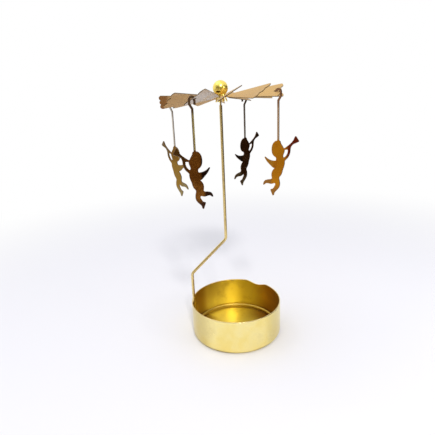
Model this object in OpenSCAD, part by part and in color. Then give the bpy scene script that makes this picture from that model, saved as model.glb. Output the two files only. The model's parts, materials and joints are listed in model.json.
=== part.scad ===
// Angel chime carousel: a brass candle cup with a bent wire stand, whose needle carries a
// twelve-bladed rotor that warm air turns, with four stamped angels hooked under its blades.
// Millimetres, +Z up. The origin is the centre of the cup's underside, and the wire rises at -X.

/* [Candle cup] */
// Outside diameter of the cup
cup_d = 60; // [50:0.5:70]
// Height of the cup to its rim
cup_h = 23; // [16:0.1:32]
// Thickness of the drawn wall
cup_wall = 0.6; // [0.4:0.1:0.8]
// Thickness of the cup's floor
cup_floor = 0.6; // [0.4:0.1:1.2]
// Outside radius of the corner between wall and floor
cup_corner_r = 2.7; // [2.5:0.1:3.2]
// Depth of the shallow dip in the rim
dip_depth = 2.4; // [0.4:0.1:3]
// Width of the dip along the rim
dip_w = 20; // [8:0.5:24]
// Bearing of the dip, counted from +X
dip_turn = 52; // [0:1:120]

/* [Wire stand] */
// Diameter of the brass wire
wire_d = 1.8; // [1.4:0.1:2.2]
// Open part of the foot ring, in degrees
ring_gap = 26; // [15:1:90]
// Radius of the bend from the foot ring up into the leg
foot_bend_r = 2.5; // [2:0.1:5]
// Radius of the two bends higher up the wire
rod_bend_r = 4; // [2.5:0.5:8]
// Height where the leg turns in over the cup
low_bend_z = 44; // [34:0.5:54]
// Height where the wire turns upright again
high_bend_z = 67; // [58:0.2:80]
// Offset of the upright, and so of the spin axis, from the cup's centre
upright_offset = 5.1; // [0:0.1:8]
// Height of the shoulder where the needle begins
shoulder_z = 150.5; // [148:0.5:152]
// Diameter of the needle ground on the wire's end
needle_d = 1.1; // [0.8:0.1:1.3]
// Diameter at the needle's point
point_d = 0.24; // [0.1:0.02:0.4]

/* [Rotor] */
// Height of the hub's mid-plane
hub_z = 155.3; // [154:0.1:160]
// Number of blades, a multiple of the number of angels
blade_count = 12; // [8:4:12]
// Radius from the spin axis to a blade's middle scallop
rotor_r = 35.85; // [34:0.05:38]
// Width of a blade at its tip
blade_w = 14.6; // [12:0.2:15]
// Width of a blade where its flat part begins
blade_root_w = 4; // [3:0.1:4.4]
// Radius where a blade's flat part begins
blade_root_r = 8.6; // [8:0.1:10]
// Pitch of the blades, the edge that leads counter-clockwise being the upper one
blade_pitch = 27; // [10:1:35]
// Thickness of the rotor's sheet
sheet_t = 0.4; // [0.3:0.05:0.5]
// Radius of the flat hub
hub_r = 6; // [5.5:0.1:6.5]
// Radius of each scallop in a blade's tip
scallop_r = 3.2; // [2.8:0.1:4]
// Hole in the hub that the needle passes
hub_hole_d = 3; // [2.4:0.1:3.2]
// Turn of the first angel's blade about the spin axis, counted from +X
rotor_turn = -117; // [-180:1:180]
// Lean of the rotor as it balances on the needle
rotor_lean = 3.6; // [0:0.1:5]
// Bearing that the rotor's upper side leans towards
lean_turn = 146; // [0:1:359]

/* [Bearing knob] */
// Outside diameter of the ball
ball_d = 8.8; // [8.4:0.1:9.6]
// Thickness of the ball's shell
ball_wall = 0.4; // [0.3:0.05:0.5]
// Outside diameter of the collar that the ball stands on
collar_d = 5.4; // [5:0.1:5.8]
// Height of the collar under the ball
collar_h = 1.1; // [0.6:0.1:1.6]
// Diameter of the bearing boss inside the ball
boss_d = 2.6; // [2.2:0.1:3.2]
// Depth of the dimple that the needle's point runs in
dimple_depth = 0.6; // [0.4:0.1:0.7]
// Number of prongs bent out under the hub
prong_count = 4; // [3:1:4]
// Width of a prong
prong_w = 1.3; // [1:0.1:1.6]
// Length of a prong's splayed end
prong_l = 2.7; // [2:0.1:3.2]
// Splay of the prongs
prong_splay = 20; // [10:1:30]
// Width of the lens-shaped window in the ball's side
window_w = 3.2; // [2:0.1:3.6]
// Height of the window
window_h = 1.1; // [0.6:0.1:1.3]

/* [Angels] */
// Number of angels, evenly spaced round the rotor
angel_count = 4; // [4:1:4]
// Thickness of the angels' sheet
plate_t = 0.5; // [0.3:0.05:0.55]
// Height of a figure from head to lower toe
figure_h = 32.3; // [26:0.1:38]
// Width of the strip between figure and hook
strip_w = 1.2; // [1:0.05:1.25]
// Length from the hook's centre down to the head
strip_drop = 25.9; // [16:0.1:34]
// Radius of the hook's bow along its middle line
hook_r = 1.75; // [1.7:0.05:1.9]
// Length of the hook's free leg
hook_leg = 2.25; // [1.6:0.05:3]
// Height of the sideways kink below the hook
kink_h = 2.4; // [1.8:0.1:3.2]
// Distance of each hook's centre in from its blade's middle scallop
seat_inset = 1.27; // [1.1:0.01:1.45]
// Sideways place of each hook on its blade, towards the lower edge
seat_side = 1.8; // [1.4:0.1:2]
// Hole in the blade for the hook's free leg
hook_hole_d = 2.2; // [2:0.05:2.3]
// Turn of each angel away from its blade's length
angel_turn = 24; // [18:1:28]

/* [Hidden] */
$fn = 96;

// Running and seating clearances
seat_gap = 0.03;
slot_gap = 0.1;
point_gap = 0.05;

// Bent wire draws a little thinner, and each straight run laps over the bends it meets
bend_thinning = 0.04;
run_lap = 0.15;

// Cup
cup_r = cup_d / 2;
cup_inner_r = cup_r - cup_wall;
cup_inner_corner_r = cup_corner_r - cup_wall;
dip_steps = 16;

// Wire
leg_r = cup_inner_r - wire_d / 2 - seat_gap;
ring_r = sqrt(leg_r * leg_r - foot_bend_r * foot_bend_r);
// The foot ring rests in the rounded corner, between the wall and the flat of the floor
ring_room = cup_inner_corner_r - wire_d / 2 - seat_gap;
ring_out = ring_r - (cup_inner_r - cup_inner_corner_r);
ring_z = cup_floor + cup_inner_corner_r - sqrt(ring_room * ring_room - ring_out * ring_out);
foot_turn = atan(foot_bend_r / ring_r);
axis_x = -upright_offset;
low_bend = [-leg_r, 0, low_bend_z];
high_bend = [axis_x, 0, high_bend_z];
slant = atan2(high_bend.x - low_bend.x, high_bend.z - low_bend.z);
setback = rod_bend_r * tan(slant / 2);

// Knob, measured from the hub's mid-plane
ball_r = ball_d / 2;
hub_top = sheet_t / 2;
collar_r = collar_d / 2;
ball_z = hub_top + collar_h + sqrt(ball_r * ball_r - collar_r * collar_r);
ball_inner_r = ball_r - ball_wall;
boss_bottom = ball_z + ball_inner_r - 0.9;
dimple_top = boss_bottom + dimple_depth;
prong_r = collar_r - ball_wall;
prong_start = -hub_top - 0.25;
window_z = ball_z - 2;

// The needle's point carries the rotor in the dimple
pivot_z = hub_z + dimple_top - point_gap;
pivot = [axis_x, 0, pivot_z];
hub_centre = [axis_x, 0, hub_z];

// Blades
blade_step = 360 / blade_count;
scallop_pitch = blade_w / 3;
scallop_drop = scallop_r - sqrt(scallop_r * scallop_r - scallop_pitch * scallop_pitch / 4);
blade_full_r = rotor_r - scallop_drop - 0.3;
twist_steps = 5;
neck_start_r = hub_r - 1;
neck_start_w = 2.2;
neck_end_r = blade_root_r + 0.5;
neck_end_w = blade_root_w - 0.1;
neck_t = sheet_t * 0.9;
twist_from_r = hub_r + 0.1;
twist_to_r = blade_root_r - 0.1;

// Hook: the bow's centre lies a little under the blade's middle
seat_r = rotor_r - seat_inset;
seat_drop = 0.35;
kink_top = 0.4 - hook_leg;
kink_foot = kink_top - kink_h;
hole_r = seat_r - hook_r * cos(angel_turn);
hole_side = (hook_r * sin(angel_turn) - seat_side) / cos(blade_pitch);

// Rotation matrices for placing the hooks on the leaning rotor
function turn_z(a) = [[cos(a), -sin(a), 0], [sin(a), cos(a), 0], [0, 0, 1]];
function turn_y(a) = [[cos(a), 0, sin(a)], [0, 1, 0], [-sin(a), 0, cos(a)]];
lean_matrix = turn_z(lean_turn) * turn_y(rotor_lean) * turn_z(-lean_turn);
function blade_angle(i) = rotor_turn + i * 360 / angel_count;
function seat_point(i) =
    let (on_blade = [seat_r, -seat_side, -seat_side * tan(blade_pitch)])
    let (level = hub_centre + turn_z(blade_angle(i)) * on_blade)
    pivot + lean_matrix * (level - pivot) - [0, 0, seat_drop];

// Cup
module cup_solid(r, h, corner) {
    rotate_extrude() {
        translate([0, corner]) square([r, h - corner]);
        square([r - corner, h]);
        translate([r - corner, corner]) circle(r = corner, $fn = 64);
    }
}

module candle_cup() {
    color("#e6c766")
    difference() {
        union() {
            cup_solid(cup_r, cup_h - cup_wall / 2, cup_corner_r);
            translate([0, 0, cup_h - cup_wall / 2])
                rotate_extrude() translate([cup_r - cup_wall / 2, 0]) circle(d = cup_wall, $fn = 32);
        }
        translate([0, 0, cup_floor])
            cup_solid(cup_inner_r, cup_h, cup_inner_corner_r);
        rotate([0, 0, dip_turn]) translate([cup_r - 4, 0, cup_h]) rotate([90, 0, 90])
            linear_extrude(8) rim_dip();
    }
}

// The dip's outline across the rim, a smooth wave with room above it
module rim_dip() {
    polygon(concat([[dip_w / 2, cup_wall], [-dip_w / 2, cup_wall]],
                   [for (i = [0:dip_steps]) let (s = 2 * i / dip_steps - 1)
                       [s * dip_w / 2, -dip_depth * (1 + cos(180 * s)) / 2]]));
}

// Wire
module wire_arc(r, angle) {
    rotate_extrude(angle = angle) translate([r, 0]) circle(d = wire_d - bend_thinning, $fn = 32);
}

module wire_run(from, to, end_lap = run_lap) {
    way = to - from;
    translate(from) rotate([0, atan2(way.x, way.z), 0]) translate([0, 0, -run_lap])
        cylinder(d = wire_d, h = norm(way) + run_lap + end_lap, $fn = 32);
}

module foot_ring() {
    rotate([0, 0, 180 + foot_turn]) {
        translate([0, 0, ring_z]) wire_arc(ring_r, 360 - ring_gap);
        translate([ring_r, 0, ring_z + foot_bend_r])
            rotate([90, 0, 90]) rotate([0, 0, 180]) wire_arc(foot_bend_r, 90);
    }
}

module stand_wire() {
    color("#c9a03c")
    union() {
        foot_ring();
        wire_run([-leg_r, 0, ring_z + foot_bend_r], low_bend - [0, 0, setback]);
        translate([rod_bend_r - leg_r, 0, low_bend_z - setback])
            rotate([90, 0, 0]) rotate([0, 0, 180 - slant]) wire_arc(rod_bend_r, slant);
        wire_run(low_bend + setback * [sin(slant), 0, cos(slant)],
                 high_bend - setback * [sin(slant), 0, cos(slant)]);
        translate([axis_x - rod_bend_r, 0, high_bend_z + setback])
            rotate([90, 0, 0]) rotate([0, 0, -slant]) wire_arc(rod_bend_r, slant);
        wire_run(high_bend + [0, 0, setback], [axis_x, 0, shoulder_z], 0);
        // Needle: parallel at first, then ground to a point
        translate([axis_x, 0, shoulder_z])
            cylinder(d = needle_d, h = hub_z - shoulder_z, $fn = 32);
        translate([axis_x, 0, hub_z])
            cylinder(d1 = needle_d, d2 = point_d, h = pivot_z - hub_z, $fn = 32);
    }
}

// Rotor
module on_rotor() {
    translate(pivot)
        rotate([0, 0, lean_turn]) rotate([0, rotor_lean, 0]) rotate([0, 0, -lean_turn])
            translate(hub_centre - pivot) rotate([0, 0, rotor_turn]) children();
}

// A blade's flat outline, with three scallops across its tip
module blade_outline() {
    intersection() {
        polygon([[blade_root_r, -blade_root_w / 2], [blade_full_r, -blade_w / 2],
                 [rotor_r + 1, -blade_w / 2], [rotor_r + 1, blade_w / 2],
                 [blade_full_r, blade_w / 2], [blade_root_r, blade_root_w / 2]]);
        union() {
            translate([0, -blade_w / 2 - 1]) square([blade_full_r, blade_w + 2]);
            for (side = [-1, 0, 1])
                translate([rotor_r - scallop_r, side * scallop_pitch]) circle(r = scallop_r);
        }
    }
}

module blade(hooked) {
    rotate([blade_pitch, 0, 0])
    difference() {
        translate([0, 0, -sheet_t / 2]) linear_extrude(sheet_t) blade_outline();
        if (hooked)
            translate([hole_r, hole_side, -sheet_t]) cylinder(d = hook_hole_d, h = 2 * sheet_t, $fn = 32);
    }
}

// The neck twists from the flat hub into the blade's pitch, drawn a little thinner by the twist
module twisted_neck() {
    stations = concat([neck_start_r],
                      [for (i = [0:twist_steps]) twist_from_r + i * (twist_to_r - twist_from_r) / twist_steps],
                      [neck_end_r]);
    sections = [for (r = stations)
        let (s = (r - neck_start_r) / (neck_end_r - neck_start_r))
        let (w = neck_start_w + s * (neck_end_w - neck_start_w))
        let (a = blade_pitch * min(1, max(0, (r - twist_from_r) / (twist_to_r - twist_from_r))))
        for (c = [[-w, -neck_t], [w, -neck_t], [w, neck_t], [-w, neck_t]])
            [r, (c.x * cos(a) - c.y * sin(a)) / 2, (c.x * sin(a) + c.y * cos(a)) / 2]];
    last = 4 * (len(stations) - 1);
    sides = [for (p = [0:4:last - 4], k = [0:3])
        let (next = (k + 1) % 4)
        for (face = [[p + k, p + k + 4, p + next], [p + next, p + k + 4, p + next + 4]]) face];
    ends = [[0, 2, 3], [0, 1, 2], [last, last + 2, last + 1], [last, last + 3, last + 2]];
    polyhedron(sections, concat(sides, ends));
}

module rotor_fan() {
    color("#cdab6e")
    on_rotor()
    difference() {
        union() {
            translate([0, 0, -hub_top]) cylinder(r = hub_r, h = sheet_t);
            for (i = [0:blade_count - 1])
                rotate([0, 0, i * blade_step]) {
                    twisted_neck();
                    blade(i % (blade_count / angel_count) == 0);
                }
        }
        translate([0, 0, -sheet_t]) cylinder(d = hub_hole_d, h = 2 * sheet_t, $fn = 32);
        for (i = [0:prong_count - 1])
            rotate([0, 0, (i + 0.5) * 360 / prong_count])
                translate([prong_r - slot_gap, -prong_w / 2 - slot_gap, -sheet_t])
                    cube([ball_wall + 2 * slot_gap, prong_w + 2 * slot_gap, 2 * sheet_t]);
    }
}

// Knob
module prong() {
    translate([prong_r, -prong_w / 2, prong_start])
        cube([ball_wall, prong_w, hub_top - prong_start + ball_wall]);
    translate([prong_r, -prong_w / 2, prong_start + 0.1])
        rotate([0, 180 - prong_splay, 0]) mirror([1, 0, 0]) cube([ball_wall, prong_w, prong_l]);
}

module window() {
    lens_r = (window_w * window_w + window_h * window_h) / (4 * window_h);
    translate([0, 0, window_z]) rotate([90, 0, 90]) linear_extrude(ball_r + 1)
        intersection() {
            translate([0, lens_r - window_h / 2]) circle(r = lens_r);
            translate([0, window_h / 2 - lens_r]) circle(r = lens_r);
        }
}

module bearing_knob() {
    color("#e8b92e")
    on_rotor()
    union() {
        difference() {
            union() {
                translate([0, 0, ball_z]) sphere(r = ball_r);
                translate([0, 0, hub_top]) cylinder(r = collar_r, h = ball_z - hub_top);
            }
            translate([0, 0, ball_z]) sphere(r = ball_inner_r);
            translate([0, 0, hub_top - 1]) cylinder(r = prong_r, h = ball_z - hub_top);
            for (half = [0, 180]) rotate([0, 0, half]) window();
        }
        // The dimple under the boss turns on the needle's point
        difference() {
            translate([0, 0, boss_bottom])
                cylinder(d = boss_d, h = ball_z + ball_r - ball_wall / 2 - boss_bottom - 0.2, $fn = 32);
            translate([0, 0, boss_bottom - 0.01])
                cylinder(d1 = boss_d * 0.7, d2 = point_d + 0.1, h = dimple_depth + 0.01, $fn = 32);
        }
        for (i = [0:prong_count - 1])
            rotate([0, 0, (i + 0.5) * 360 / prong_count]) prong();
    }
}

// A smooth closed curve through the outline's points, each stretch in a few steps
curve_steps = 4;
function curve_point(a, b, c, d, t) =
    0.5 * (2 * b + (c - a) * t + (2 * a - 5 * b + 4 * c - d) * t * t
           + (3 * b - a - 3 * c + d) * t * t * t);
function smooth_loop(points) =
    let (n = len(points))
    [for (i = [0:n - 1], k = [0:curve_steps - 1])
        curve_point(points[(i + n - 1) % n], points[i], points[(i + 1) % n],
                    points[(i + 2) % n], k / curve_steps)];

// The angel flies towards +X with its trumpet raised. The head's top is the outline's origin.
outline_h = 32.3;
head_and_face = [[-2.1, -0.4], [-0.6, 0.05], [0.8, 0.1], [1.5, -0.4], [1.9, -1.5], [2.9, -2.7], [4.1, -4]];
trumpet = [[6.3, -2.8], [8.7, -1.1], [10.4, 0.6], [11.5, 2.6], [11.9, 2.95], [12.4, 2.6], [13.8, 0.9], [14.1, 0.35],
           [13.7, -0.1],
           [12.2, -0.75], [10.4, -1.5], [9, -2.8]];
raised_arm = [[8.5, -4.2], [8.3, -6], [7.7, -7.7], [6.7, -9.2], [5.4, -10.4], [4.6, -11.3]];
chest_and_belly = [[4.5, -12.8], [4, -14.6], [3.3, -16.2], [2.8, -17.9], [2.1, -19.4], [1, -20.6], [0.6, -21.6]];
front_leg = [[1, -22.9], [1.25, -24.6], [1, -26.1], [0.1, -27.6], [-1.5, -29.2], [-2.7, -30.4],
             [-3.3, -31.9], [-3.9, -32.3], [-4.6, -31.2], [-5.6, -29.2], [-5.1, -28.6], [-3.7, -28],
             [-2.8, -26.8], [-2, -25.4]];
back_leg = [[-2.4, -24.7], [-3.7, -25.1], [-5.2, -25.5], [-7.8, -25.4], [-9.3, -25.7], [-10.4, -26.5],
            [-11.2, -26.7], [-11.1, -25.6], [-10, -24], [-7.8, -23.1], [-5.7, -22.7], [-4.6, -22]];
hip_and_back = [[-4.8, -20.6], [-4.8, -19.2], [-4.3, -17.8], [-3.4, -16.6], [-2.7, -15.9]];
wing = [[-3.8, -15.6], [-5.7, -14.3], [-8, -12.6], [-9.3, -11.1], [-9.9, -10.2], [-9.6, -9.8],
        [-7.5, -10.9], [-4.9, -11.5], [-2.1, -11.5]];
nape_and_skull = [[-1.4, -10.7], [-1.6, -9.6], [-2.8, -9], [-3.9, -8], [-4.5, -6.6], [-4.65, -5], [-4.3, -3.1],
                  [-3.4, -1.5]];
arm_gap = [[4.5, -5], [5.6, -4.75], [6.6, -4.6], [6.9, -5.3], [6.5, -6.8], [5.4, -8.3], [4.1, -9.2],
           [3.4, -8.6], [3.7, -7.4], [4.25, -6.2]];

module angel_figure() {
    scale(figure_h / outline_h)
    difference() {
        polygon(smooth_loop(concat(head_and_face, trumpet, raised_arm, chest_and_belly, front_leg,
                                   back_leg, hip_and_back, wing, nape_and_skull)));
        polygon(smooth_loop(arm_gap));
    }
}

// A band of even width along a path of points
function unit(v) = v / norm(v);
function left_of(v) = [-v.y, v.x];
function side_point(path, i, half) =
    let (last = len(path) - 1)
    let (before = left_of(unit(path[max(i, 1)] - path[max(i, 1) - 1])))
    let (after = left_of(unit(path[min(i, last - 1) + 1] - path[min(i, last - 1)])))
    let (middle = unit(before + after))
    path[i] + middle * half / (middle * before);
module band(path, w) {
    polygon(concat([for (i = [0:len(path) - 1]) side_point(path, i, w / 2)],
                   [for (i = [len(path) - 1:-1:0]) side_point(path, i, -w / 2)]));
}

bow = [for (a = [0:10:180]) hook_r * [cos(a), sin(a)]];
hook_path = concat([[0, -strip_drop - 2], [0, kink_foot], [hook_r, kink_top]], bow, [[-hook_r, -hook_leg]]);

module angel(i) {
    color("#b5802a")
    translate(seat_point(i))
        rotate([90, 0, blade_angle(i) - angel_turn])
            translate([0, 0, -plate_t / 2]) linear_extrude(plate_t) {
                band(hook_path, strip_w);
                translate([0, -strip_drop]) angel_figure();
            }
}

module angel_1() { angel(0); }
module angel_2() { angel(1); }
module angel_3() { angel(2); }
module angel_4() { angel(3); }

candle_cup();
stand_wire();
rotor_fan();
bearing_knob();
angel_1();
angel_2();
angel_3();
angel_4();
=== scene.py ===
# Looks for the angel chime carousel: polished brass under soft studio light
import json
import math
import bpy
from mathutils import Matrix, Vector

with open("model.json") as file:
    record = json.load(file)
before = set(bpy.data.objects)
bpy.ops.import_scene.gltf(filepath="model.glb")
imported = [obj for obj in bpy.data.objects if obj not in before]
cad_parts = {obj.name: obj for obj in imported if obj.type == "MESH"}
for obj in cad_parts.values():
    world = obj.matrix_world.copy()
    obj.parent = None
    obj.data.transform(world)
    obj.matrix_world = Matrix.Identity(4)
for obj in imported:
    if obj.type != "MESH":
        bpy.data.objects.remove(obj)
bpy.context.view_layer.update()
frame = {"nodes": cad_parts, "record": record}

print("frame loaded:", len(frame["nodes"]), "nodes")

# Joints come from the frame: places in millimetres, and axes, which stand square to the angels' plates
mmPerMetre = 1000.0
joints = {joint["name"]: joint for joint in frame["record"]["behaviour"]["joints"]}
jointPlace = {name: [metres * mmPerMetre for metres in joint["pos_m"]] for name, joint in joints.items()}


# Node helpers: a value is a plain number or colour, or the output of another node
def newMaterial(name):
    mat = bpy.data.materials.new(name)
    mat.use_nodes = True
    mat.node_tree.nodes.clear()
    return mat, mat.node_tree


def node(tree, kind, inputs=None, **settings):
    made = tree.nodes.new(kind)
    for key, value in settings.items():
        setattr(made, key, value)
    for key, value in (inputs or {}).items():
        if isinstance(value, bpy.types.NodeSocket):
            tree.links.new(value, made.inputs[key])
        else:
            made.inputs[key].default_value = value
    return made


def calc(tree, operation, a, b=0.0):
    return node(tree, "ShaderNodeMath", {0: a, 1: b}, operation=operation).outputs[0]


def times(tree, a, b):
    return calc(tree, "MULTIPLY", a, b)


def plus(tree, a, b):
    return calc(tree, "ADD", a, b)


fullSpan = (0.0, 1.0)


def ramp(tree, value, span, to=fullSpan):
    # eases from one end of "to" to the other while the value crosses the span
    inputs = {"Value": value, "From Min": span[0], "From Max": span[1], "To Min": to[0], "To Max": to[1]}
    return node(tree, "ShaderNodeMapRange", inputs, interpolation_type="SMOOTHSTEP").outputs["Result"]


def rgba(colour):
    return (*colour, 1.0)


def mixColour(tree, factor, first, second):
    # on this node the colours are inputs 6 and 7, and the mixed colour is output 2
    ends = [end if isinstance(end, bpy.types.NodeSocket) else rgba(end) for end in (first, second)]
    return node(tree, "ShaderNodeMix", {0: factor, 6: ends[0], 7: ends[1]}, data_type="RGBA").outputs[2]


def objectMm(tree):
    coords = node(tree, "ShaderNodeTexCoord").outputs["Object"]
    return node(tree, "ShaderNodeMapping", {"Vector": coords, "Scale": (mmPerMetre,) * 3}).outputs[0]


def stretched(tree, mm, scale, turn=(0, 0, 0)):
    return node(tree, "ShaderNodeMapping", {"Vector": mm, "Rotation": turn, "Scale": scale}).outputs[0]


def noise(tree, vector, scale, detail, rough=0.55):
    inputs = {"Vector": vector, "Scale": scale, "Detail": detail, "Roughness": rough}
    return node(tree, "ShaderNodeTexNoise", inputs).outputs[0]


def partsOf(tree, vector):
    return node(tree, "ShaderNodeSeparateXYZ", {0: vector}).outputs


def vectorOf(tree, x, y, z):
    return node(tree, "ShaderNodeCombineXYZ", {0: x, 1: y, 2: z}).outputs[0]


def roundAxis(tree, coords, centre=(0.0, 0.0)):
    # distance from an upright axis, bearing round it and height
    parts = partsOf(tree, coords)
    x = calc(tree, "SUBTRACT", parts[0], centre[0])
    y = calc(tree, "SUBTRACT", parts[1], centre[1])
    distance = calc(tree, "SQRT", plus(tree, times(tree, x, x), times(tree, y, y)))
    return distance, calc(tree, "ARCTAN2", y, x), parts[2]


def nearness(tree, bearing, side):
    # cosine of the angle between a bearing and a side given in degrees: 1 at that side, -1 across from it
    return calc(tree, "COSINE", calc(tree, "SUBTRACT", bearing, math.radians(side)))


def towards(tree, direction):
    # 1 on faces that look along a direction of the object's own frame, -1 on those that look back
    inputs = {0: node(tree, "ShaderNodeTexCoord").outputs["Normal"], 1: direction}
    return node(tree, "ShaderNodeVectorMath", inputs, operation="DOT_PRODUCT").outputs["Value"]


def metal(tree, colour, rough, height, bumpMm, softMm=0.0, softSamples=8):
    bump = node(tree, "ShaderNodeBump", {"Height": height, "Distance": bumpMm / mmPerMetre})
    if softMm:
        # rounds the look of a drawn wire between its facets
        bevel = node(tree, "ShaderNodeBevel", {"Radius": softMm / mmPerMetre}, samples=softSamples)
        tree.links.new(bevel.outputs[0], bump.inputs["Normal"])
    inputs = {"Base Color": colour, "Metallic": 1.0, "Roughness": rough, "Normal": bump.outputs[0]}
    shader = node(tree, "ShaderNodeBsdfPrincipled", inputs)
    node(tree, "ShaderNodeOutputMaterial", {"Surface": shader.outputs[0]})


def seenRays(tree):
    # 1 for what the camera sees, straight or in metal and glass, and 0 for what only gives light
    rays = node(tree, "ShaderNodeLightPath").outputs
    mirrored = calc(tree, "MAXIMUM", rays["Is Glossy Ray"], rays["Is Transmission Ray"])
    return calc(tree, "MAXIMUM", rays["Is Camera Ray"], mirrored)


def dress(nodeName, mat):
    obj = frame["nodes"][nodeName]
    obj.data.materials.clear()
    obj.data.materials.append(mat)


# Cup: drawn and spun brass, pale outside, deeper inside as painted shade of the hollow, with lathe lines
# on wall and floor
cup = {
    "outside": (0.94, 0.77, 0.27),
    "light": (0.98, 0.85, 0.38),
    # painted shade: the inside is deeper than the outside, for the shaded hollow
    "inside": (0.79, 0.62, 0.10),
    # painted highlight: the colour of a bright band inside
    "bandHighlight": (0.95, 0.80, 0.22),
    # the tarnish colour is also the colour of the painted shade inside
    "tarnish": (0.33, 0.15, 0.02),
    # painted shade: the colour of the shaded sides and foot outside
    "sideAndFootShade": (0.27, 0.18, 0.06),
    "rimEdge": (0.80, 0.64, 0.30),
    # marks: bearing and half width in degrees, and strength
    # painted shade: dark reflections inside, at the right wall and beside the leg
    "paintedShade": ((12, 56, 0.95), (150, 22, 0.7)),
    # painted highlight: a bright band on the back wall and floor inside
    "paintedBand": ((112, 42, 0.75),),
    # painted shade on the outside at the left and the right
    "shadedSides": ((202, 34, 0.38), (325, 26, 0.24)),
    # outside, then inside
    "rough": (0.22, 0.43),
    "lineShare": (0.5, 1.3),
    "stainShare": (0.15, 0.5),
    # in millimetres, from where a change starts to where it is full
    "innerWallMm": (29.7, 29.5),
    "innerFloorMm": (0.2, 0.4),
    "shadeFromAxisMm": (10.0, 26.0),
    # painted contact shade along the foot
    "footShadeMm": (2.8, 0.2),
    "rimMm": (22.5, 22.9),
    "footShadeSides": (0.1, 0.45),  # 0 is the front or the back, 1 the left or the right
    # noises: scale, detail and roughness, and where in them a change starts and is full
    "clouds": (0.07, 4.0, 0.6),
    "lightClouds": (0.35, 0.65),
    "stainClouds": (0.5, 0.78),
    "lathe": (2.2, 4.0),
    "lathePerRadian": 0.35,
    "lineDepthMm": 0.012,
    "latheWear": 0.5,
    "wear": (0.4, 1.2),
    "wearRougher": (-0.05, 0.08),
    # hairlines from handling: how many go to a millimetre and a radian, and what they change
    "hairlinesPerMm": 5.0,
    "hairlinesPerRadian": 5.0,
    "hairlineSlant": 9.0,
    "hairlines": (1.0, 2.0),
    "hairlineSpan": (0.6, 0.7),
    "hairlineShare": 0.1,
    "hairlineRougher": 0.06,
}


def hairlines(tree, distance, bearing, height):
    # they run round the wall at a slight slant, 1 where the metal is marked
    along = times(tree, bearing, cup["hairlinesPerRadian"])
    inward = times(tree, distance, cup["hairlinesPerMm"])
    upward = times(tree, height, cup["hairlinesPerMm"])
    slant = plus(tree, upward, times(tree, bearing, cup["hairlineSlant"]))
    scratches = noise(tree, vectorOf(tree, along, inward, slant), *cup["hairlines"])
    return ramp(tree, scratches, cup["hairlineSpan"])


def marks(tree, bearing, sides, share):
    # the strongest of several marks on the wall, each fading toward the ends of its width
    most = 0.0
    for side, halfWidth, strength in sides:
        span = (math.cos(math.radians(halfWidth)), 1.0)
        mark = ramp(tree, nearness(tree, bearing, side), span, (0.0, strength))
        most = calc(tree, "MAXIMUM", most, times(tree, mark, share))
    return most


def cupBrass():
    mat, tree = newMaterial("cupBrass")
    mm = objectMm(tree)
    distance, bearing, height = roundAxis(tree, mm)
    latheCoords = vectorOf(tree, distance, times(tree, bearing, cup["lathePerRadian"]), height)
    lathe = noise(tree, latheCoords, *cup["lathe"])
    clouds = noise(tree, mm, *cup["clouds"])
    scratches = hairlines(tree, distance, bearing, height)
    # the inside is all that lies within the wall and above the underside
    inner = times(tree, ramp(tree, distance, cup["innerWallMm"]), ramp(tree, height, cup["innerFloorMm"]))
    outer = calc(tree, "SUBTRACT", 1.0, inner)
    outside = mixColour(tree, ramp(tree, clouds, cup["lightClouds"]), cup["outside"], cup["light"])
    # a painted highlight band brightens the inside at the back, left of centre
    inside = mixColour(tree, marks(tree, bearing, cup["paintedBand"], 1.0), cup["inside"], cup["bandHighlight"])
    colour = mixColour(tree, inner, outside, inside)
    # cloudy tarnish, and painted shade for the dark reflections on the inside of the right wall and beside
    # the leg
    stainAndShade = times(tree, ramp(tree, clouds, cup["stainClouds"]),
                  ramp(tree, inner, fullSpan, cup["stainShare"]))
    paintedShade = marks(tree, bearing, cup["paintedShade"], ramp(tree, distance, cup["shadeFromAxisMm"]))
    stainAndShade = calc(tree, "MAXIMUM", stainAndShade, times(tree, paintedShade, inner))
    colour = mixColour(tree, stainAndShade, colour, cup["tarnish"])
    # outside, painted shade darkens two sides, and painted contact shade darkens the foot except at the
    # front and the back
    sideShading = marks(tree, bearing, cup["shadedSides"], outer)
    sideways = calc(tree, "ABSOLUTE", calc(tree, "COSINE", bearing))
    footShade = times(tree, ramp(tree, height, cup["footShadeMm"]), ramp(tree, sideways, cup["footShadeSides"]))
    footShade = times(tree, footShade, outer)
    colour = mixColour(tree, calc(tree, "MAXIMUM", sideShading, footShade), colour, cup["sideAndFootShade"])
    colour = mixColour(tree, ramp(tree, height, cup["rimMm"]), colour, cup["rimEdge"])
    colour = mixColour(tree, times(tree, scratches, cup["hairlineShare"]), colour, cup["rimEdge"])
    worn = plus(tree, clouds, times(tree, lathe, cup["latheWear"]))
    worn = ramp(tree, worn, cup["wear"], cup["wearRougher"])
    rough = plus(tree, worn, ramp(tree, inner, fullSpan, cup["rough"]))
    rough = plus(tree, rough, times(tree, scratches, cup["hairlineRougher"]))
    lines = times(tree, lathe, ramp(tree, inner, fullSpan, cup["lineShare"]))
    metal(tree, colour, rough, lines, cup["lineDepthMm"])
    return mat


dress("candle_cup", cupBrass())
print("cup finished")


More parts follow.
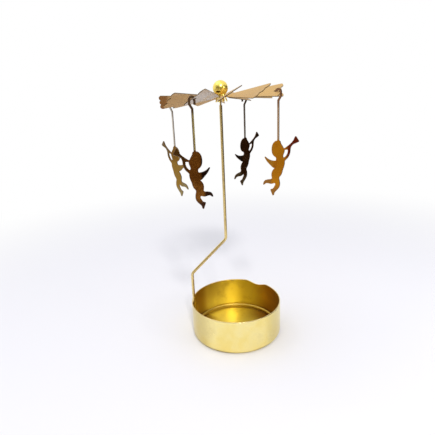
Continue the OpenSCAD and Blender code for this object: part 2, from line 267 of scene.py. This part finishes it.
# Wire: drawn along its length, a little tarnished
wire = {
    "brass": (0.78, 0.61, 0.26),
    "tarnish": (0.52, 0.37, 0.14),
    "ring": (0.62, 0.45, 0.10),
    # painted shade: a dark reflection on the upright's right side
    "shadedSideColour": (0.22, 0.14, 0.04),
    "rough": (0.22, 0.35),
    "ringRougher": 0.12,
    "dullShare": 0.4,
    "shadedShare": 0.85,
    "shadedSide": (1, 0, 0),
    "shadedFacing": (0.05, 0.5),  # 1 looks straight towards the side with the painted dark reflection
    # heights, from where a change starts to where it is full
    "dullAboveMm": (74.0, 86.0),
    "dullBelowMm": (124.0, 112.0),
    "shadedMm": (62.0, 82.0),
    "ringMm": (4.0, 3.0),
    # noises: scale, detail and roughness, and where in them a change starts and is full
    "blotches": (0.1, 3.0, 0.55),
    "tarnishBlotches": (0.48, 0.8),
    "roughBlotches": (0.3, 0.7),
    "drawnStretch": (1.5, 1.5, 0.05),
    "drawn": (1.0, 2.0),
    "lineDepthMm": 0.0004,
    "softMm": 0.35,
}


def wireBrass():
    mat, tree = newMaterial("wireBrass")
    mm = objectMm(tree)
    height = partsOf(tree, mm)[2]
    drawn = noise(tree, stretched(tree, mm, wire["drawnStretch"]), *wire["drawn"])
    blotches = noise(tree, mm, *wire["blotches"])
    colour = mixColour(tree, ramp(tree, blotches, wire["tarnishBlotches"]), wire["brass"], wire["tarnish"])
    rough = ramp(tree, blotches, wire["roughBlotches"], wire["rough"])
    # the lower half of the upright is dull from handling
    dull = times(tree, ramp(tree, height, wire["dullAboveMm"]),
                 ramp(tree, height, wire["dullBelowMm"], (0.0, wire["dullShare"])))
    colour = mixColour(tree, dull, colour, wire["tarnish"])
    # painted shade: a dark reflection painted on the upright's right side, from the upper bend to the top
    paintedShade = times(tree, ramp(tree, towards(tree, wire["shadedSide"]), wire["shadedFacing"],
                             (0.0, wire["shadedShare"])), ramp(tree, height, wire["shadedMm"]))
    colour = mixColour(tree, paintedShade, colour, wire["shadedSideColour"])
    # the foot ring is rougher and more golden than the rest
    ring = ramp(tree, height, wire["ringMm"])
    colour = mixColour(tree, ring, colour, wire["ring"])
    rough = plus(tree, rough, times(tree, ring, wire["ringRougher"]))
    metal(tree, colour, rough, drawn, wire["lineDepthMm"], wire["softMm"])
    return mat


dress("stand_wire", wireBrass())
print("wire finished")


# Rotor: thin rolled sheet, tan with a warmer right side and one grey blade in front, and dark cut edges
rotor = {
    "brass": (0.54, 0.35, 0.16),
    "warm": (0.66, 0.45, 0.18),
    "grey": (0.60, 0.56, 0.53),
    "heat": (0.27, 0.10, 0.01),
    "edge": (0.16, 0.10, 0.04),
    "facing": (0.62, 0.72),  # how far a surface looks up or down, from a cut edge to a blade's face
    "rough": (0.48, 0.64),
    # sides by bearing in degrees, with the nearness where a tone starts and is full, and its strength
    "warmSide": -10.0,
    "warmNear": (0.3, 0.95),
    "warmShare": 0.6,
    "greySide": -117.0,
    "greyNear": (0.93, 0.985),
    "greyShare": 0.8,
    "heatSide": 183.0,
    "heatNear": (0.96, 0.985),
    "heatShare": 0.85,
    "heatMm": (31.5, 34.5),
    "heatWanderMm": 4.0,
    # noises: scale, detail and roughness, and where in them a change starts and is full
    "clouds": (0.09, 4.0, 0.6),
    "warmClouds": (0.45, 0.75),
    "cloudShare": 0.4,
    "grainStretch": (0.25, 4, 4),
    "grainTurn": (0, 0, 0.4),
    "grain": (1.0, 3.0),
    "grainWear": 0.3,
    "grainDepthMm": 0.006,
    "wear": (0.4, 0.9),
}


def rotorBrass():
    mat, tree = newMaterial("rotorBrass")
    mm = objectMm(tree)
    distance, bearing = roundAxis(tree, mm, jointPlace["rotor_spin"])[:2]
    grain = noise(tree, stretched(tree, mm, rotor["grainStretch"], rotor["grainTurn"]), *rotor["grain"])
    clouds = noise(tree, mm, *rotor["clouds"])
    warm = nearness(tree, bearing, rotor["warmSide"])
    warm = ramp(tree, warm, rotor["warmNear"], (0.0, rotor["warmShare"]))
    grey = nearness(tree, bearing, rotor["greySide"])
    grey = ramp(tree, grey, rotor["greyNear"], (0.0, rotor["greyShare"]))
    cloudy = ramp(tree, clouds, rotor["warmClouds"], (0.0, rotor["cloudShare"]))
    colour = mixColour(tree, warm, rotor["brass"], rotor["warm"])
    colour = mixColour(tree, grey, colour, rotor["grey"])
    colour = mixColour(tree, cloudy, colour, rotor["warm"])
    # the tip of the left blade is brown from a flame
    outward = plus(tree, distance, times(tree, clouds, rotor["heatWanderMm"]))
    heat = times(tree, ramp(tree, nearness(tree, bearing, rotor["heatSide"]), rotor["heatNear"]),
                 ramp(tree, outward, rotor["heatMm"]))
    colour = mixColour(tree, times(tree, heat, rotor["heatShare"]), colour, rotor["heat"])
    face = ramp(tree, calc(tree, "ABSOLUTE", towards(tree, (0, 0, 1))), rotor["facing"])
    colour = mixColour(tree, face, rotor["edge"], colour)
    worn = plus(tree, clouds, times(tree, grain, rotor["grainWear"]))
    metal(tree, colour, ramp(tree, worn, rotor["wear"], rotor["rough"]), grain, rotor["grainDepthMm"])
    return mat


dress("rotor_fan", rotorBrass())
print("rotor finished")


# Knob: a polished ball, a little dented where it was pressed
knob = {
    "brass": (1.0, 0.82, 0.20),
    "deep": (0.92, 0.62, 0.08),
    "rough": (0.30, 0.42),
    # noises: scale, detail and roughness, and where in them a change starts and is full
    "dents": (0.4, 1.0, 0.4),
    "dentMm": 0.08,
    "fine": (1.2, 3.0, 0.5),
    "fineShare": 0.01,
    "deepFine": (0.45, 0.75),
    "roughFine": (0.3, 0.8),
}


def knobBrass():
    mat, tree = newMaterial("knobBrass")
    mm = objectMm(tree)
    dents = noise(tree, mm, *knob["dents"])
    fine = noise(tree, mm, *knob["fine"])
    colour = mixColour(tree, ramp(tree, fine, knob["deepFine"]), knob["brass"], knob["deep"])
    rough = ramp(tree, fine, knob["roughFine"], knob["rough"])
    metal(tree, colour, rough, plus(tree, dents, times(tree, fine, knob["fineShare"])), knob["dentMm"])
    return mat


dress("bearing_knob", knobBrass())
print("knob finished")


# Angels: stamped from bright sheet, with painted reflections darkening each in its own way
angelPaintedTones = {
    "angel_1": {"body": (0.52, 0.20, 0.03), "head": (0.60, 0.23, 0.03), "horn": (0.34, 0.17, 0.04),
                "wing": (0.06, 0.022, 0.012), "feet": (0.07, 0.028, 0.014), "hook": (0.14, 0.09, 0.05),
                "strip": (0.62, 0.52, 0.20)},
    "angel_2": {"body": (0.55, 0.22, 0.01), "head": (0.56, 0.23, 0.01), "horn": (0.20, 0.03, 0.01),
                "wing": (0.50, 0.24, 0.03), "feet": (0.34, 0.15, 0.03), "hook": (0.34, 0.20, 0.12),
                "strip": (0.52, 0.36, 0.23)},
    "angel_3": {"body": (0.24, 0.10, 0.03), "head": (0.28, 0.11, 0.03), "horn": (0.22, 0.13, 0.07),
                "wing": (0.15, 0.10, 0.06), "feet": (0.64, 0.50, 0.27), "hook": (0.24, 0.22, 0.18),
                "strip": (0.46, 0.45, 0.38)},
    "angel_4": {"body": (0.42, 0.26, 0.05), "head": (0.30, 0.16, 0.025), "horn": (0.25, 0.18, 0.09),
                "wing": (0.40, 0.26, 0.07), "feet": (0.33, 0.26, 0.12), "hook": (0.42, 0.39, 0.34),
                "strip": (0.62, 0.57, 0.50)},
}
angelSheet = {
    "edge": (0.12, 0.06, 0.03),
    "facing": (0.6, 0.8),  # how far a surface looks along the hinge's axis, from a cut edge to a face
    "rough": (0.16, 0.28),
    "stripRougher": 0.22,
    "stripDropMm": 25.9,
    # zones in millimetres across the plate and down from the strip's end: where each starts and is full
    "headDown": (11.5, 7.5),
    "hornAcross": (5.6, 8.6),
    "hornDown": (13.0, 10.0),
    "wingAcross": (-1.6, -3.4),
    "wingDown": (19.0, 17.0),
    "feetDown": (24.5, 29.5),
    "backFootAcross": (-2.6, -5.0),
    "backFootDown": (17.5, 20.0),
    "stripAcross": (5.0, 4.0),
    "stripDown": (0.0, -1.2),
    "hookDown": (-17.0, -21.0),
    "wanderMm": 2.0,
    # noises: scale, detail and roughness, and where in them a change starts and is full
    "clouds": (0.16, 4.0, 0.6),
    "hornClouds": (0.5, 0.78),
    "cloudShare": 0.4,
    "grainStretch": (4, 4, 0.6),
    "grain": (1.0, 2.0),
    "grainWear": 0.12,
    "grainShare": 0.0004,
    "wave": (0.05, 1.0, 0.4),
    "waveMm": 0.35,
    "wear": (0.4, 0.9),
}


def angelBrass(name, paintedTones):
    mat, tree = newMaterial(name + "Brass")
    mm = objectMm(tree)
    axis = joints[name + "_swing"]["axis"]
    place = jointPlace[name + "_swing"]
    # across the plate from the hook, and down from the strip's lower end
    parts = partsOf(tree, mm)
    across = plus(tree, times(tree, calc(tree, "SUBTRACT", parts[0], place[0]), -axis[1]),
                  times(tree, calc(tree, "SUBTRACT", parts[1], place[1]), axis[0]))
    down = calc(tree, "SUBTRACT", place[2] - angelSheet["stripDropMm"], parts[2])
    grain = noise(tree, stretched(tree, mm, angelSheet["grainStretch"]), *angelSheet["grain"])
    wave = noise(tree, mm, *angelSheet["wave"])
    clouds = noise(tree, mm, *angelSheet["clouds"])
    wander = plus(tree, across, times(tree, clouds, angelSheet["wanderMm"]))
    horn = times(tree, ramp(tree, wander, angelSheet["hornAcross"]),
                 ramp(tree, down, angelSheet["hornDown"]))
    wing = times(tree, ramp(tree, wander, angelSheet["wingAcross"]),
                 ramp(tree, down, angelSheet["wingDown"]))
    backFoot = times(tree, ramp(tree, wander, angelSheet["backFootAcross"]),
                     ramp(tree, down, angelSheet["backFootDown"]))
    feet = calc(tree, "MAXIMUM", ramp(tree, down, angelSheet["feetDown"]), backFoot)
    cloudy = ramp(tree, clouds, angelSheet["hornClouds"], (0.0, angelSheet["cloudShare"]))
    # the body, head, horn, wing, feet, strip and hook colours are painted reflections
    colour = mixColour(tree, ramp(tree, down, angelSheet["headDown"]), paintedTones["body"], paintedTones["head"])
    colour = mixColour(tree, cloudy, colour, paintedTones["horn"])
    colour = mixColour(tree, horn, colour, paintedTones["horn"])
    colour = mixColour(tree, wing, colour, paintedTones["wing"])
    colour = mixColour(tree, feet, colour, paintedTones["feet"])
    strip = mixColour(tree, ramp(tree, down, angelSheet["hookDown"]), paintedTones["strip"], paintedTones["hook"])
    onStrip = times(tree, ramp(tree, down, angelSheet["stripDown"]),
                    ramp(tree, calc(tree, "ABSOLUTE", across), angelSheet["stripAcross"]))
    colour = mixColour(tree, onStrip, colour, strip)
    face = ramp(tree, calc(tree, "ABSOLUTE", towards(tree, axis)), angelSheet["facing"])
    colour = mixColour(tree, face, angelSheet["edge"], colour)
    worn = plus(tree, clouds, times(tree, grain, angelSheet["grainWear"]))
    rough = ramp(tree, worn, angelSheet["wear"], angelSheet["rough"])
    rough = plus(tree, rough, times(tree, onStrip, angelSheet["stripRougher"]))
    bumps = plus(tree, wave, times(tree, grain, angelSheet["grainShare"]))
    metal(tree, colour, rough, bumps, angelSheet["waveMm"])
    return mat


for name, paintedTones in angelPaintedTones.items():
    dress(name, angelBrass(name, paintedTones))
print("angels finished")


# Floor and backdrop: a pale disc that fades to white with the distance, in metres
floor = {"radius": 1.6, "sides": 96, "fade": (0.16, 0.46), "paper": (0.88, 0.875, 0.91),
         "white": (1.0, 1.0, 1.0)}


def paleFloor():
    mat, tree = newMaterial("paleFloor")
    distance = roundAxis(tree, node(tree, "ShaderNodeTexCoord").outputs["Object"])[0]
    paper = node(tree, "ShaderNodeBsdfDiffuse", {"Color": rgba(floor["paper"])})
    white = node(tree, "ShaderNodeEmission", {"Color": rgba(floor["white"])})
    far = times(tree, ramp(tree, distance, floor["fade"]), seenRays(tree))
    mix = node(tree, "ShaderNodeMixShader", {0: far, 1: paper.outputs[0], 2: white.outputs[0]})
    node(tree, "ShaderNodeOutputMaterial", {"Surface": mix.outputs[0]})
    return mat


bpy.ops.mesh.primitive_circle_add(vertices=floor["sides"], radius=floor["radius"], fill_type="NGON")
floorDisc = bpy.context.object
floorDisc.name = "floorDisc"
floorDisc.data.materials.append(paleFloor())

# World: white to the eye and in reflections, a little softer as light
world = {"seen": (1.0, 1.0, 1.0), "light": (0.95, 0.96, 1.0), "lightStrength": 0.72}
scene = bpy.context.scene
scene.world = bpy.data.worlds.new("softWorld")
scene.world.use_nodes = True
worldTree = scene.world.node_tree
worldTree.nodes.clear()
shown = node(worldTree, "ShaderNodeBackground", {"Color": rgba(world["seen"])})
lit = node(worldTree, "ShaderNodeBackground", {"Color": rgba(world["light"]),
                                               "Strength": world["lightStrength"]})
worldMix = node(worldTree, "ShaderNodeMixShader", {0: seenRays(worldTree), 1: lit.outputs[0],
                                                   2: shown.outputs[0]})
node(worldTree, "ShaderNodeOutputWorld", {"Surface": worldMix.outputs[0]})
print("floor and world set")

# Lamps: a small one above and behind the camera, a smaller one at the right, a wide one high at the left
lamps = {
    "frontLamp": {"place": (0.074, -0.707, 0.756), "size": 0.10, "watts": 3.9,
                  "colour": (1.0, 0.985, 0.965)},
    "sideLamp": {"place": (0.277, -0.20, 0.206), "size": 0.05, "watts": 0.12,
                 "colour": (1.0, 0.98, 0.95)},
    "softLamp": {"place": (-0.35, 0.15, 0.95), "size": 0.6, "watts": 1.5,
                 "colour": (1.0, 0.99, 0.97)},
}
lookAt = Vector((0.0, 0.0, 0.07))
for name, lamp in lamps.items():
    light = bpy.data.lights.new(name, "AREA")
    light.size = lamp["size"]
    light.energy = lamp["watts"]
    light.color = lamp["colour"]
    obj = bpy.data.objects.new(name, light)
    scene.collection.objects.link(obj)
    place = Vector(lamp["place"])
    turn = (place - lookAt).to_track_quat("Z", "Y").to_matrix().to_4x4()
    obj.matrix_world = Matrix.Translation(place) @ turn
print("lamps set")

# Cards: dark and tan, outside the picture, seen only in the brass, where they stand for the room
cards = {
    "rightFrontCard": {"place": (0.33, -0.25, 0.20), "turnDeg": 90, "width": 0.40, "height": 0.40,
                       "colour": (0.13, 0.10, 0.08)},
    "rightBackCard": {"place": (0.33, 0.10, 0.15), "turnDeg": 90, "width": 0.30, "height": 0.30,
                      "colour": (0.05, 0.04, 0.035)},
    "frontCard": {"place": (0.1, -0.80, 0.50), "turnDeg": 0, "width": 1.9, "height": 1.0,
                  "colour": (0.13, 0.11, 0.09)},
    "leftFrontCard": {"place": (-0.85, -0.50, 0.42), "turnDeg": 90, "width": 0.6, "height": 0.84,
                      "colour": (0.16, 0.13, 0.10)},
    "leftLowCard": {"place": (-0.45, 0.0, 0.05), "turnDeg": 90, "width": 0.6, "height": 0.10,
                    "colour": (0.60, 0.52, 0.42)},
}
for name, card in cards.items():
    bpy.ops.mesh.primitive_plane_add(size=1, location=card["place"],
                                     rotation=(math.pi / 2, 0, math.radians(card["turnDeg"])))
    obj = bpy.context.object
    obj.name = name
    obj.scale = (card["width"], card["height"], 1)
    obj.visible_camera = False
    obj.visible_shadow = False
    obj.visible_diffuse = False
    cardMat, cardTree = newMaterial(name)
    skin = node(cardTree, "ShaderNodeEmission", {"Color": rgba(card["colour"])})
    node(cardTree, "ShaderNodeOutputMaterial", {"Surface": skin.outputs[0]})
    obj.data.materials.append(cardMat)
print("cards set")

# Camera: fitted to the photograph
camera = {"place": (-0.02198, -0.23624, 0.15509), "turnDeg": 2.91, "downDeg": 17.217, "rollDeg": -2.612,
          "focalPixels": 387.59, "picturePixels": 435, "sensorMm": 36.0, "nearest": 0.01}
camData = bpy.data.cameras.new("photoCamera")
camData.sensor_width = camera["sensorMm"]
camData.lens = camera["sensorMm"] * camera["focalPixels"] / camera["picturePixels"]
camData.clip_start = camera["nearest"]
cam = bpy.data.objects.new("photoCamera", camData)
scene.collection.objects.link(cam)
cam.matrix_world = (Matrix.Translation(camera["place"])
                    @ Matrix.Rotation(math.radians(-camera["turnDeg"]), 4, "Z")
                    @ Matrix.Rotation(math.radians(90 - camera["downDeg"]), 4, "X")
                    @ Matrix.Rotation(math.radians(camera["rollDeg"]), 4, "Z"))
scene.camera = cam
scene.view_settings.view_transform = "Standard"
print("camera set")
